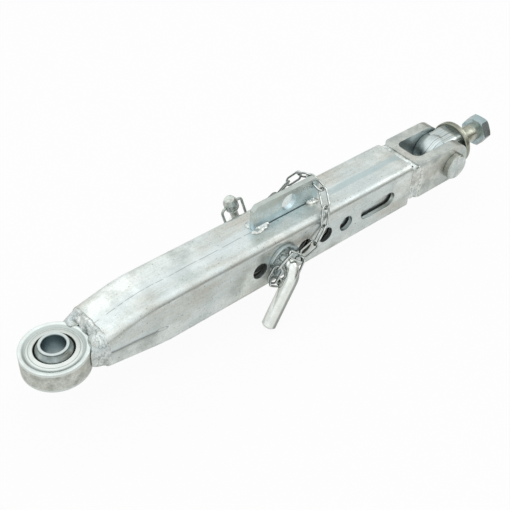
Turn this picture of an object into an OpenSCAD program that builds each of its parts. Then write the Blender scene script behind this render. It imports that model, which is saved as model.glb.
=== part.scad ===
// Telescopic lower link stabilizer for a tractor's three-point linkage.
// The origin is the centre of the swivel ball. +X runs along the tubes to the clevis,
// -Y is the side with the pin's handle, and +Z is up, along the ball's bore.

/* [Outer tube] */
// Outside width and height of the outer tube
tube_w = 60; // [56:1:70]
// Wall of the outer tube
tube_wall = 5; // [3:0.5:6]
// Outside corner radius of the outer tube
tube_corner_r = 8; // [6:0.5:10]
// X of the pressed end, where the ball ring is welded on
tube_start = 40; // [36:1:46]
// X of the open end
tube_end = 452; // [440:1:470]
// Height of the pressed end
press_h = 39; // [34:1:48]
// Length of the slope from the pressed end to the full height, on the underside
press_len = 66; // [50:1:80]

/* [Pin holes] */
// X of the first pin hole
hole_first = 224; // [215:1:230]
// Distance between the pin holes
hole_pitch = 31; // [28:1:34]
// Number of round pin holes
hole_count = 5; // [3:1:5]
// Diameter of the pin holes in the outer tube, and height of its slot
hole_d = 19; // [18:0.5:22]
// X of the left end of the outer slot's centre line
slot_from = 381; // [376:1:386]
// X of the right end of the outer slot's centre line
slot_to = 416; // [400:1:430]

/* [Ball end] */
// Diameter of the swivel ball
ball_d = 46; // [42:1:50]
// Width of the ball over its two flat faces
ball_w = 35; // [30:1:38]
// Bore of the ball
ball_bore_d = 22.4; // [19:0.1:25.7]
// Outside radius of the forged ring
ring_r = 33.5; // [31:0.5:36]
// Height of the forged ring
ring_h = 22.5; // [20:0.5:26]
// Gap between the ball and its race
race_gap = 0.25; // [0.2:0.05:0.5]
// Width of the ring's stub inside the tube
stub_w = 40; // [30:1:44]
// Length of the weld along the neck
neck_weld_len = 22; // [18:1:24]

/* [Chain plate] */
// Length of the plate that stands on the tube
plate_len = 91; // [85:1:110]
// Height of the plate
plate_h = 28.7; // [26:0.1:34]
// Thickness of the plate
plate_t = 6; // [4:0.5:6]
// X of the plate's left edge
plate_from = 235.5; // [230:0.5:240]
// Diameter of the plate's large hole
plate_hole_d = 20; // [16:0.5:21]
// X of the plate's large hole
plate_hole_x = 284; // [270:1:290]
// Diameter of the plate's chain hole
chain_hole_d = 9.5; // [9:0.5:10]

/* [Inner tube and clevis] */
// Gap between the inner and the outer tube, on each side
slide_gap = 2.5; // [2:0.5:4]
// Wall of the inner tube
inner_wall = 4; // [3:0.5:5]
// X of the inner tube's hidden end
inner_start = 203; // [190:1:208]
// X of the clevis's back face, where the inner tube is welded on
clevis_back = 464; // [456:1:470]
// Height of the float slot and diameter of the round holes in the inner tube
inner_hole_d = 17; // [16.6:0.1:18]
// Width of the clevis over its ears
clevis_w = 60; // [56:1:66]
// Distance from the tube's axis down to the clevis's underside
clevis_low = 22.5; // [22:0.5:26]
// Thickness of an ear
ear_t = 13; // [11:0.5:14]
// Thickness of the clevis's base
base_t = 9; // [7:0.5:12]
// Radius of the ears about the clevis pin, and the clevis's height above the tube's axis
ear_r = 26; // [24:0.5:28]
// Distance from the clevis's back face to the clevis pin
pin_reach = 63; // [60:1:70]

/* [Clevis pin and eye stud] */
// Diameter of the clevis pin
clevis_pin_d = 20; // [18:0.5:22]
// Diameter of the clevis pin's head and of its washer
pin_head_d = 32; // [28:1:36]
// Thickness of the clevis pin's head
pin_head_t = 8; // [5:0.5:10]
// Radius of the eye about the clevis pin
eye_r = 22.5; // [20:0.5:24]
// How much lower the eye is at its flat sides than in the middle
eye_crown = 4.5; // [2:0.5:6]
// Width of the eye between the ears
eye_w = 33; // [30:0.5:33.4]
// Distance from the clevis pin to the flange's near side
flange_reach = 30; // [28:0.5:36]
// Thickness of the flange
flange_t = 7; // [5:0.5:9]
// Radius of the flange
flange_r = 27; // [25:0.5:28]
// Diameter of the stud
stud_d = 22; // [20:0.5:24]
// Length of the stud past the flange
stud_len = 54; // [40:1:80]
// Width across the flats of the nut
nut_af = 32.5; // [30:0.5:36]
// Thickness of the nut
nut_t = 13; // [10:0.5:18]
// Distance from the nut's outer face to the stud's end
nut_inset = 3; // [1:0.5:10]

/* [Locking pin] */
// Diameter of the locking pin
lock_d = 16; // [15:0.5:16]
// Diameter of the locking pin's collar
collar_d = 39.5; // [34:0.5:44]
// Thickness of the collar
collar_t = 4; // [3:0.5:5]
// Radius of the bend between the pin and its handle
bend_r = 14; // [12:0.5:16]
// Distance from the pin's axis to the handle's end
handle_len = 72; // [60:1:90]
// Lean of the handle away from straight down
handle_lean = 28.5; // [20:0.5:35]
// Distance from the tube's far face to the linch pin
linch_reach = 15; // [14:0.5:18]
// Diameter of the linch pin's shank
linch_d = 9; // [8:0.5:10]
// Lean of the linch pin away from upright
linch_lean = 18; // [10:1:25]
// Distance from the locking pin's axis to the middle of the linch pin's head
linch_head_at = 31.5; // [31:0.5:36]

/* [Chain] */
// Wire of the chain links
wire_d = 2.4; // [2:0.1:2.4]
// Outside width of a link
link_w = 11.5; // [11.5:0.1:12]
// Inside length of a link
link_in = 21.1; // [21.1:0.1:21.3]

/* [Hidden] */
$fn = 64;
fit = 0.05;          // gap round a pin that runs in a bore, on the radius
seat = 0.02;         // gap between a weld and what it holds
side_gap = 0.3;      // gap beside parts that turn against a flat face
tube_half = tube_w / 2;
press_half = press_h / 2;
inner_w = tube_w - 2 * tube_wall - 2 * slide_gap;
inner_half = inner_w / 2;
inner_corner_r = 6;
press_end = tube_start + 4;
press_full = press_end + press_len;
lock_x = hole_first + hole_pitch;
clevis_pin_x = clevis_back + pin_reach;
clevis_half = clevis_w / 2;
ear_gap = clevis_w - 2 * ear_t;
base_face = clevis_back + base_t;
flange_x = clevis_pin_x + flange_reach;
stud_x = flange_x + flange_t;
stud_end = stud_x + stud_len;
nut_x = stud_end - nut_inset - nut_t;
neck_weld_x = tube_start + 4 - neck_weld_len;
chain_hole_x = plate_from + plate_len - 7;
chain_hole_z = tube_half + 21;
plate_z = tube_half + side_gap;
linch_y = tube_half + linch_reach;
handle_y = -tube_half - 6 - bend_r;
link_r = (link_w - wire_d) / 2;

// Lumps on the neck weld: X from the tube's end, Y, Z and radius.
neck_lumps = [[-7, 15, 12.5, 6], [-5, -1, 14, 5], [-8, -18, 12, 6.5], [-6, -12, -12.5, 6], [-7, 9, -13, 6]];

// The chain's contact points, where one link hangs in the next. Points with a share of 0 follow the
// plate, those with a share of 1 follow the tube's side.
plate_shift = plate_from + plate_len - 326.5;
tube_shift = tube_half - 30;
function hang(x, y, z, share) =
    [x + (1 - share) * plate_shift, y + sign(y) * share * tube_shift, z + (1 - share) * tube_shift];
plate_link_route = [hang(325, -10.5, 46.9, 0), hang(323, 8.7, 54, 0)];
front_route = [hang(324.5, -11, 47.5, 0), hang(317, -26, 36, 0.5), hang(307.5, -35, 20, 1),
               hang(294, -37.5, 5, 1), hang(274.5, -39, 1, 1)];
loop_route = [hang(268.5, -42.5, 2, 1), hang(254, -42, 15, 1), hang(237, -43, 6.5, 1),
              hang(231.5, -39, -12.5, 1), hang(246, -36.5, -24.5, 1), hang(262.5, -41, -16, 1)];
rear_route = [hang(322, 8.2, 55.5, 0), hang(325, 25.5, 44.5, 0.4), hang(320, 37.2, 29.3, 1),
              hang(310, 43, 12, 1), hang(292.8, 44, 2, 1), hang(273, 44, 8, 1)];

// Turn of each link about its own length: neighbours stand across each other.
front_roll = [-45, 45, -45, 45];
loop_roll = [50, -35, 20, -15, 60, -40];
rear_roll = [-45, 45, -45, 45, -45];

zinc = [0.76, 0.79, 0.79];
zinc_blue = [0.68, 0.76, 0.79];
weld_grey = [0.56, 0.57, 0.56];
steel_bright = [0.80, 0.80, 0.77];

// A square with round corners, centred on the origin, made of exact arcs.
module rounded_rect(w, h, r) {
    square([w - 2 * r, h], center = true);
    square([w, h - 2 * r], center = true);
    for (sx = [-1, 1], sy = [-1, 1])
        translate([sx * (w / 2 - r), sy * (h / 2 - r)]) circle(r);
}

// A bar of that section along X, its height along Z.
module bar_x(from, to, w, h, r) {
    translate([from, 0, 0]) rotate([90, 0, 90]) linear_extrude(to - from) rounded_rect(w, h, r);
}

// A straight cylinder along Y, through the whole of a tube of half width half.
module cross_bore(x, d, half) {
    translate([x, -half - 1, 0]) rotate([-90, 0, 0]) cylinder(d = d, h = 2 * half + 2);
}

// A slot along X, cut through along Y.
module cross_slot(from, to, d, half) {
    cross_bore(from, d, half);
    cross_bore(to, d, half);
    translate([from, -half - 1, -d / 2]) cube([to - from, 2 * half + 2, d]);
}

// One end of a lofted form: a thin slice of a bar.
module slice_x(x, w, h, r) {
    bar_x(x, x + 0.01, w, h, r, $fn = 32);
}

// A slice of the pressed end, part of the way to the full height above and below.
module press_slice(along, above, below, w, r, shrink) {
    top = press_half + (tube_half - press_half) * above - shrink;
    low = press_half + (tube_half - press_half) * below - shrink;
    translate([0, 0, (top - low) / 2]) slice_x(press_end + press_len * along, w, top + low, r);
}

// The outer tube as a solid bar with its pressed end, which bends sooner on top than below.
module tube_form(shrink) {
    w = tube_w - 2 * shrink;
    r = tube_corner_r - shrink;
    bar_x(press_full, tube_end, w, w, r);
    hull() {
        slice_x(tube_start, w, press_h - 2 * shrink, r);
        press_slice(0, 0, 0, w, r, shrink);
        press_slice(0.5, 0.8, 0.56, w, r, shrink);
        press_slice(0.75, 0.98, 0.82, w, r, shrink);
        press_slice(1, 1, 1, w, r, shrink);
    }
}

module outer_tube() {
    color(zinc) difference() {
        tube_form(0);
        tube_form(tube_wall);
        bar_x(tube_start - 1, tube_start + 0.5, tube_w - 2 * tube_wall, press_h - 2 * tube_wall,
              tube_corner_r - tube_wall);
        bar_x(tube_end - 0.5, tube_end + 1, tube_w - 2 * tube_wall, tube_w - 2 * tube_wall,
              tube_corner_r - tube_wall);
        for (i = [0 : hole_count - 1])
            cross_bore(hole_first + i * hole_pitch, hole_d, tube_half);
        cross_slot(slot_from, slot_to, hole_d, tube_half);
    }
}

// The stub behind the ring, from the race to the inside of the tube.
module ring_stub(grow) {
    translate([ring_r - 8, -stub_w / 2 - grow, -ring_h / 2 - grow])
        cube([tube_start + 20 - ring_r + 8, stub_w + 2 * grow, ring_h + 2 * grow]);
}

module ball_ring() {
    top = ring_h / 2;
    land_r = ring_r - 0.8;
    dish_r = ring_r - 2.5;
    lip_r = ball_d / 2 - 1.4;
    color(weld_grey) difference() {
        union() {
            rotate_extrude()
                polygon([[0, -top], [land_r, -top], [ring_r, -top + 0.8], [ring_r, top - 0.8],
                         [land_r, top], [0, top]]);
            ring_stub(0);
        }
        sphere(d = ball_d + 2 * race_gap, $fn = 96);
        for (side = [-1, 1]) scale([1, 1, side])
            rotate_extrude()
                polygon([[0, top - 2.6], [lip_r, top - 2.6], [lip_r, top - 1.2], [dish_r - 2, top - 1.4],
                         [dish_r, top], [dish_r, top + 1], [0, top + 1]]);
    }
}

// The heavy weld round the neck, between the ring and the tube's pressed end.
module neck_weld() {
    color(weld_grey) difference() {
        union() {
            hull() {
                slice_x(neck_weld_x, tube_w - 7, ring_h - 1, 6);
                slice_x(neck_weld_x + neck_weld_len / 2, tube_w - 4, (ring_h + press_h) / 2 + 1, 8);
                slice_x(tube_start - 1, tube_w - 1, press_h - 1, 8);
                slice_x(tube_start - 0.02, tube_w - 2, press_h - 2, 8);
            }
            for (lump = neck_lumps)
                translate([tube_start + lump[0], lump[1], lump[2]]) sphere(lump[3], $fn = 32);
        }
        translate([0, 0, -ring_h]) cylinder(r = ring_r + seat, h = 2 * ring_h);
        ring_stub(seat);
        translate([tube_start - seat, -tube_w, -tube_w]) cube([60, 2 * tube_w, 2 * tube_w]);
    }
}

module chain_plate() {
    cut = 5;
    color(zinc_blue) difference() {
        translate([plate_from, plate_t / 2, plate_z]) rotate([90, 0, 0]) linear_extrude(plate_t)
            polygon([[0, 0], [plate_len, 0], [plate_len, plate_h - cut], [plate_len - cut, plate_h],
                     [cut, plate_h], [0, plate_h - cut]]);
        translate([plate_hole_x, -plate_t, plate_z + plate_h / 2]) rotate([-90, 0, 0])
            cylinder(d = plate_hole_d, h = 2 * plate_t);
        translate([chain_hole_x, -plate_t, chain_hole_z]) rotate([-90, 0, 0])
            cylinder(d = chain_hole_d, h = 2 * plate_t);
    }
}

// A fillet weld along both sides of the plate's foot, round at its ends.
module plate_weld(from, len) {
    color(weld_grey) difference() {
        for (side = [-1, 1]) translate([from, side * plate_t / 2, tube_half]) {
            rotate([0, 90, 0]) cylinder(r = 4.2, h = len);
            for (x = [0, len]) translate([x, 0, 0]) sphere(4.2);
        }
        translate([plate_from - 1, -plate_t / 2 - seat, tube_half - 5])
            cube([plate_len + 2, plate_t + 2 * seat, plate_h]);
        translate([plate_from - 20, -tube_half, 0]) cube([plate_len + 40, tube_w, tube_half + seat]);
    }
}

module swivel_ball() {
    color(zinc_blue) difference() {
        intersection() {
            sphere(d = ball_d, $fn = 96);
            cube([ball_d + 2, ball_d + 2, ball_w], center = true);
        }
        translate([0, 0, -ball_w]) cylinder(d = ball_bore_d, h = 2 * ball_w);
        for (side = [-1, 1]) scale([1, 1, side]) translate([0, 0, ball_w / 2 - 1])
            cylinder(d1 = ball_bore_d, d2 = ball_bore_d + 3, h = 1.5);
    }
}

module inner_tube() {
    color(zinc) difference() {
        bar_x(inner_start, clevis_back, inner_w, inner_w, inner_corner_r);
        bar_x(inner_start - 1, clevis_back + 1, inner_w - 2 * inner_wall, inner_w - 2 * inner_wall,
              inner_corner_r - inner_wall);
        cross_slot(hole_first, lock_x, inner_hole_d, inner_half);
        for (i = [2, 3]) cross_bore(hole_first + i * hole_pitch, inner_hole_d, inner_half);
    }
}

module clevis() {
    back_r = 9;
    inside_r = 9;
    color(zinc) difference() {
        intersection() {
            translate([0, 0, -clevis_low]) linear_extrude(clevis_low + ear_r) union() {
                translate([clevis_back + back_r, -clevis_half]) square([200, clevis_w]);
                translate([clevis_back, -clevis_half + back_r]) square([20, clevis_w - 2 * back_r]);
                for (side = [-1, 1])
                    translate([clevis_back + back_r, side * (clevis_half - back_r)]) circle(back_r);
            }
            translate([0, clevis_half + 1, 0]) rotate([90, 0, 0]) linear_extrude(clevis_w + 2) union() {
                translate([clevis_back - 1, -ear_r]) square([pin_reach + 1, 2 * ear_r]);
                translate([clevis_pin_x, 0]) circle(ear_r);
            }
        }
        translate([0, 0, -ear_r - 1]) linear_extrude(2 * ear_r + 2) union() {
            translate([base_face + inside_r, -ear_gap / 2]) square([200, ear_gap]);
            translate([base_face, -ear_gap / 2 + inside_r]) square([20, ear_gap - 2 * inside_r]);
            for (side = [-1, 1])
                translate([base_face + inside_r, side * (ear_gap / 2 - inside_r)]) circle(inside_r);
        }
        cross_bore(clevis_pin_x, clevis_pin_d + 2 * fit, clevis_half);
    }
}

module clevis_weld() {
    weld_len = 9;
    color(weld_grey) difference() {
        hull() {
            slice_x(clevis_back - weld_len, inner_w + 1, inner_w + 1, inner_corner_r);
            slice_x(clevis_back - 3, inner_w + 7, inner_w + 4, inner_corner_r + 3);
            slice_x(clevis_back - 0.01 - seat, inner_w + 8, inner_w + 4, inner_corner_r + 3);
        }
        bar_x(clevis_back - weld_len - 1, clevis_back + 1, inner_w + 2 * seat, inner_w + 2 * seat,
              inner_corner_r + seat);
    }
}

module clevis_pin() {
    head_y = -clevis_half - side_gap - pin_head_t;
    color(zinc) difference() {
        translate([clevis_pin_x, 0, 0]) {
            translate([0, head_y, 0]) rotate([-90, 0, 0]) {
                cylinder(d1 = pin_head_d - 3, d2 = pin_head_d, h = 1.5);
                translate([0, 0, 1.5]) cylinder(d = pin_head_d, h = pin_head_t - 1.5);
                cylinder(d = clevis_pin_d, h = 2 * clevis_half + pin_head_t + 13);
            }
            translate([0, clevis_half + side_gap + 12.4, 0]) rotate([-90, 0, 0])
                cylinder(d1 = clevis_pin_d, d2 = clevis_pin_d - 3, h = 1.5);
        }
        translate([clevis_pin_x, clevis_half + side_gap + 7, -clevis_pin_d]) cylinder(d = 5, h = 2 * clevis_pin_d);
    }
}

module clevis_washer() {
    color(zinc) translate([clevis_pin_x, clevis_half + side_gap, 0]) rotate([-90, 0, 0]) difference() {
        cylinder(d = pin_head_d, h = 3);
        translate([0, 0, -1]) cylinder(d = clevis_pin_d + 2 * fit, h = 5);
    }
}

// The slotted spring pin across the clevis pin's end.
module roll_pin() {
    color(weld_grey) translate([clevis_pin_x, clevis_half + side_gap + 7, -15]) difference() {
        cylinder(d = 5 - seat, h = 30);
        translate([0, 0, -1]) cylinder(d = 2.6, h = 32);
        translate([0, 0, -1]) cube([3, 0.6, 32]);
    }
}

// The barrel-shaped eye round the clevis pin: highest in the middle, flat at its sides.
module eye_barrel() {
    crown_r = (pow(eye_w / 2, 2) + pow(eye_crown, 2)) / (2 * eye_crown);
    rotate([-90, 0, 0]) rotate_extrude() intersection() {
        translate([eye_r - crown_r, 0]) circle(crown_r, $fn = 96);
        translate([0, -eye_w / 2]) square([eye_r + 1, eye_w]);
    }
}

module eye_stud() {
    color(steel_bright) difference() {
        union() {
            translate([clevis_pin_x, 0, 0]) eye_barrel();
            bar_x(clevis_pin_x, flange_x + 1, eye_w, 2 * eye_r - 2, 6);
            translate([flange_x, 0, 0]) rotate([0, 90, 0]) {
                cylinder(r1 = flange_r - 1, r2 = flange_r, h = 1);
                translate([0, 0, 1]) cylinder(r = flange_r, h = flange_t - 2);
                translate([0, 0, flange_t - 1]) cylinder(r1 = flange_r, r2 = flange_r - 1, h = 1);
                cylinder(d = stud_d, h = flange_t + stud_len - 1.5);
                translate([0, 0, flange_t + stud_len - 1.5]) cylinder(d1 = stud_d, d2 = stud_d - 3, h = 1.5);
            }
        }
        cross_bore(clevis_pin_x, clevis_pin_d + 2 * fit + 0.05, eye_w / 2);
    }
}

module stud_nut() {
    corner_d = nut_af / cos(30);
    color(zinc_blue) translate([nut_x, 0, 0]) rotate([0, 90, 0]) difference() {
        intersection() {
            rotate([0, 0, 30]) cylinder(d = corner_d, h = nut_t, $fn = 6);
            union() {
                cylinder(d1 = corner_d - 4, d2 = corner_d, h = 1.3);
                translate([0, 0, 1.3]) cylinder(d = corner_d + 1, h = nut_t - 2.6);
                translate([0, 0, nut_t - 1.3]) cylinder(d1 = corner_d, d2 = corner_d - 4, h = 1.3);
            }
        }
        translate([0, 0, -1]) cylinder(d = stud_d + 2 * fit, h = nut_t + 2);
    }
}

// The line of the linch pin: up and away from the clevis, through the locking pin's axis.
module on_linch() {
    translate([lock_x, linch_y, 0]) rotate([0, -linch_lean, 0]) children();
}

module locking_pin() {
    straight = linch_y + 7 - (handle_y + bend_r);
    color(steel_bright) difference() {
        translate([lock_x, 0, 0]) rotate([0, handle_lean, 0]) {
            translate([0, handle_y + bend_r, 0]) rotate([-90, 0, 0]) {
                cylinder(d = lock_d, h = straight - 1.5);
                translate([0, 0, straight - 1.5]) cylinder(d1 = lock_d, d2 = lock_d - 3, h = 1.5);
            }
            translate([0, handle_y + bend_r, -bend_r]) rotate([180, -90, 0]) rotate_extrude(angle = 90)
                translate([bend_r, 0]) circle(d = lock_d);
            translate([0, handle_y, -bend_r]) rotate([180, 0, 0]) {
                cylinder(d = lock_d, h = handle_len - bend_r - 2);
                translate([0, 0, handle_len - bend_r - 2]) cylinder(d1 = lock_d, d2 = lock_d - 4, h = 2);
            }
        }
        on_linch() translate([0, 0, -lock_d]) cylinder(d = linch_d + 2 * fit, h = 2 * lock_d);
    }
}

module pin_collar() {
    color(steel_bright) translate([lock_x, -tube_half - side_gap - collar_t, 0]) rotate([-90, 0, 0]) difference() {
        union() {
            cylinder(d1 = collar_d - 2, d2 = collar_d, h = 1);
            translate([0, 0, 1]) cylinder(d = collar_d, h = collar_t - 1);
        }
        translate([0, 0, -1]) cylinder(d = lock_d + 2 * seat, h = collar_t + 2);
    }
}

module linch_pin() {
    head_len = 18;
    head_d = 16;
    color(steel_bright) on_linch() difference() {
        union() {
            translate([0, 0, -17.5]) cylinder(d = linch_d, h = linch_head_at + 9.5);
            translate([0, 0, -20.5]) cylinder(d1 = linch_d - 4, d2 = linch_d, h = 3);
            translate([0, 0, linch_head_at - head_len / 2]) {
                cylinder(d1 = head_d - 5, d2 = head_d, h = 5);
                translate([0, 0, 5]) cylinder(d = head_d, h = head_len - 10);
                translate([0, 0, head_len - 5]) cylinder(d1 = head_d, d2 = head_d - 5, h = 5);
            }
        }
        translate([-head_d, 0, linch_head_at]) rotate([0, 90, 0]) cylinder(d = 3.4, h = 2 * head_d);
    }
}

// The snap ring: both ends sit in the head's cross hole, and the bow passes under the pin.
module linch_ring() {
    wire = 3;
    half_w = 13.5;
    turn_r = 5;
    leg_low = -9.5;
    leg = linch_head_at - turn_r - leg_low;
    color(steel_bright) on_linch() {
        for (side = [-1, 1]) scale([side, 1, 1]) {
            translate([1, 0, linch_head_at]) rotate([0, 90, 0]) cylinder(d = wire, h = half_w - turn_r - 1);
            translate([half_w - turn_r, 0, linch_head_at - turn_r]) rotate([90, 0, 0])
                rotate_extrude(angle = 90) translate([turn_r, 0]) circle(d = wire);
            translate([half_w, 0, leg_low]) cylinder(d = wire, h = leg);
        }
        translate([0, 0, leg_low]) rotate([90, 0, 0]) rotate_extrude(angle = 180, start = 180)
            translate([half_w, 0]) circle(d = wire);
    }
}

// One welded link between two contact points, turned by roll about its own length.
module chain_link(p, q, roll) {
    u = (q - p) / norm(q - p);
    straight = link_in + wire_d - 2 * link_r;
    color(zinc) translate((p + q) / 2) rotate([0, acos(u[2]), atan2(u[1], u[0])]) rotate([0, 0, roll]) {
        for (side = [-1, 1]) {
            translate([side * link_r, 0, -straight / 2]) cylinder(d = wire_d, h = straight);
            translate([0, 0, side * straight / 2]) rotate([90, 0, 0])
                rotate_extrude(angle = 180, start = side > 0 ? 0 : 180)
                    translate([link_r, 0]) circle(d = wire_d);
        }
    }
}

outer_tube();
ball_ring();
neck_weld();
chain_plate();
plate_weld(plate_from + 5, 12);  // plate_weld_left
plate_weld(plate_from + plate_len - 14, 6);  // plate_weld_right
swivel_ball();
inner_tube();
clevis();
clevis_weld();
clevis_pin();
clevis_washer();
roll_pin();
eye_stud();
stud_nut();
locking_pin();
pin_collar();
linch_pin();
linch_ring();
chain_link(plate_link_route[0], plate_link_route[1], 90);  // plate_link
for (i = [1 : 4])
    chain_link(front_route[i - 1], front_route[i], front_roll[i - 1]);
for (i = [1 : 6])
    chain_link(loop_route[i - 1], loop_route[i % 6], loop_roll[i - 1]);
for (i = [1 : 5])
    chain_link(rear_route[i - 1], rear_route[i], rear_roll[i - 1]);
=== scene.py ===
# %% [markdown]
# # A lower link stabilizer in zinc-plated steel
# The steel parts come from a fixed frame, in metres. This lesson gives them their finish, adds
# the weld beads and the turned ball and ring, and sets up the light and the camera.
# The origin is the centre of the swivel ball, +X runs along the tubes and -Y is the handle's side.

import math

import bmesh
import bpy
from mathutils import Matrix, Vector, noise


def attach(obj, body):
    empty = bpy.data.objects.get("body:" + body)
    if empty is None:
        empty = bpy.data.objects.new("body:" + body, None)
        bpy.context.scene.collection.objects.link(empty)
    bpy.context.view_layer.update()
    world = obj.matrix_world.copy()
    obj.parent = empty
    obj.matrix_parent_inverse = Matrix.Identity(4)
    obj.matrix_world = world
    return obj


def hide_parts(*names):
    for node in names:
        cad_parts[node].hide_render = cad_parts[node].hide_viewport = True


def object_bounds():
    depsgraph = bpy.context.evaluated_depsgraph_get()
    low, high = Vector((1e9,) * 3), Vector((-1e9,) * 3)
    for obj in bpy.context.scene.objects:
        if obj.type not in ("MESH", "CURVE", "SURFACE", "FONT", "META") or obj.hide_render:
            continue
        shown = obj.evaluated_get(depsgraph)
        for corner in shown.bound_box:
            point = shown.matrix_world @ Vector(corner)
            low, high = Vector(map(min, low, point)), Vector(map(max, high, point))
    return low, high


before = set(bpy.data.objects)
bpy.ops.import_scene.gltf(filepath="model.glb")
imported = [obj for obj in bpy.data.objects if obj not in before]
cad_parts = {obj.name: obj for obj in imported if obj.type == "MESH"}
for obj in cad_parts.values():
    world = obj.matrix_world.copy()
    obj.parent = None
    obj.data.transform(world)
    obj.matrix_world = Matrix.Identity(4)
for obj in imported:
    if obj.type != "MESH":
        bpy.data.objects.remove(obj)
cad_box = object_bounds()
MM = 0.001


# %% [markdown]
# ## Camera
# The photograph looks down on the tube from the handle's side, from about a metre away. A camera
# could be placed by eye, but three angles and a distance are easier to match to the tube's edges:
# an azimuth and an elevation give its direction, and then it rolls a little.

# %% Camera
AZIMUTH = math.radians(-42.308)
ELEVATION = math.radians(42.071)
ROLL = math.radians(2.8485)
DISTANCE = 956.8 * MM
TARGET = Vector((242.5, 0, -9.2)) * MM
LENS_MM = 63.41
SENSOR_MM = 36


def camera_axes(azimuth, elevation, roll):
    """Right, up and backward directions of a camera that looks at its target."""
    back = Vector((math.sin(azimuth) * math.cos(elevation),
                   -math.cos(azimuth) * math.cos(elevation),
                   math.sin(elevation)))
    right = Vector((math.cos(azimuth), math.sin(azimuth), 0))
    up = back.cross(right)
    rolled_right = right * math.cos(roll) + up * math.sin(roll)
    rolled_up = up * math.cos(roll) - right * math.sin(roll)
    return rolled_right, rolled_up, back


right, up, back = camera_axes(AZIMUTH, ELEVATION, ROLL)
camera = bpy.data.objects.new("camera", bpy.data.cameras.new("camera"))
camera.data.lens = LENS_MM
camera.data.sensor_width = SENSOR_MM
camera.data.clip_start = 0.05
camera_turn = Matrix((right, up, back)).transposed().to_4x4()
camera.matrix_world = Matrix.Translation(TARGET + back * DISTANCE) @ camera_turn
bpy.context.scene.collection.objects.link(camera)
bpy.context.scene.camera = camera
print("camera at", [round(c, 3) for c in camera.matrix_world.translation])


# %% [markdown]
# ## One helper for every node
# Colours are written as sRGB hex values and turned to linear in one place. One small function adds
# any shader node: it sets the node's mode, or a ramp's colour stops, and fills the inputs in their
# order or by name. A socket is linked, and anything else is set as a value.

# %% Colour and node helper
MODE_NAMES = {"Math": "operation", "VectorMath": "operation", "Mix": "blend_type",
              "MapRange": "interpolation_type"}
MIX_COLOUR_INPUTS, MIX_COLOUR_OUTPUT = (0, 6, 7), 2


def linear(hex_colour):
    """An sRGB hex colour as linear RGBA."""
    channels = [int(hex_colour[i:i + 2], 16) / 255 for i in (1, 3, 5)]
    return [c / 12.92 if c <= 0.04045 else ((c + 0.055) / 1.055) ** 2.4 for c in channels] + [1]


def add(tree, kind, mode=None, *inputs, out=0, **named):
    """Adds a node. mode is its mode, a dict of settings, or a list of (position, colour) stops.
    out picks what is handed back: a socket, "all" of them, or None for the node itself."""
    node = tree.nodes.new("ShaderNode" + kind)
    order = range(len(inputs))
    if kind == "Mix":
        node.data_type = "RGBA"
        order, out = MIX_COLOUR_INPUTS, MIX_COLOUR_OUTPUT
    if isinstance(mode, list):
        elements = node.color_ramp.elements
        while len(elements) < len(mode):
            elements.new(0.5)
        for element, (position, colour) in zip(elements, mode):
            element.position = position
            element.color = linear(colour) if isinstance(colour, str) else (colour,) * 3 + (1,)
        mode = None
    elif isinstance(mode, str):
        mode = {MODE_NAMES[kind]: mode}
    for name, value in (mode or {}).items():
        setattr(node, name, value)
    filled = [(node.inputs[i], value) for i, value in zip(order, inputs)]
    filled += [(node.inputs[name.replace("_", " ")], value) for name, value in named.items()]
    for socket, value in filled:
        if isinstance(value, bpy.types.NodeSocket):
            tree.links.new(value, socket)
        else:
            socket.default_value = value
    if out is None:
        return node
    return list(node.outputs) if out == "all" else node.outputs[out]


print("#808080 is", round(linear("#808080")[0], 3), "in linear light")


# %% [markdown]
# ## Masks, in millimetres
# A mark on a part, such as a seam or a ground face, is a colour laid where a mask is 1. The masks
# are made from the piece's own coordinates, so that a mark stays on the steel from every side and
# in every pose.

# %% Masks
def mottle(tree, point, size_mm, detail=3, roughness=0.55, stretch=None):
    """A pattern whose patches are about size_mm across. A stretch below 1 draws them out."""
    if stretch is not None:
        point = add(tree, "Mapping", None, Vector=point, Scale=stretch)
    return add(tree, "TexNoise", None, Vector=point, Scale=1 / (size_mm * MM), Detail=detail,
               Roughness=roughness)


def near(tree, value, centre_mm, half_mm, soft_mm):
    """1 where value is within half_mm of the centre, fading to 0 over soft_mm."""
    offset = add(tree, "Math", "ABSOLUTE", add(tree, "Math", "SUBTRACT", value, centre_mm * MM))
    end_mm = half_mm + soft_mm
    return add(tree, "MapRange", "SMOOTHSTEP", offset, half_mm * MM, end_mm * MM, 1.0, 0.0)


def between(tree, value, low_mm, high_mm, first=0.0, last=1.0):
    """Goes from first to last while value goes from low_mm to high_mm."""
    return add(tree, "MapRange", "SMOOTHSTEP", value, low_mm * MM, high_mm * MM, first, last)


def facing(tree, direction, low, high):
    """Goes from 0 to 1 as the surface turns towards a direction of the piece's own space."""
    normal = add(tree, "TexCoord", out="Normal")
    toward = add(tree, "VectorMath", "DOT_PRODUCT", normal, direction, out="Value")
    return add(tree, "MapRange", "SMOOTHSTEP", toward, low, high, 0.0, 1.0)


def overlap(tree, *masks):
    """Where all the masks lie over each other, as their product. A number among them is a strength."""
    product = masks[0]
    for mask in masks[1:]:
        product = add(tree, "Math", "MULTIPLY", product, mask)
    return product


def opposite(tree, mask):
    """1 where the mask is 0."""
    return add(tree, "Math", "SUBTRACT", 1.0, mask)


def lay(tree, mask, colour, hex_colour):
    """Lays one plain colour over another, where the mask says."""
    return add(tree, "Mix", "MIX", mask, colour, linear(hex_colour))


def waves_per_metre(pitch_mm):
    """What a length is multiplied by to go through one sine wave in each pitch."""
    return 2 * math.pi / (pitch_mm * MM)


def distance(tree, first, second):
    """The distance from the axis where both values are 0."""
    squares = add(tree, "Math", "ADD", overlap(tree, first, first), overlap(tree, second, second))
    return add(tree, "Math", "SQRT", squares)


print("lines 1 mm apart go through", round(waves_per_metre(1)), "radians in a metre")


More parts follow.
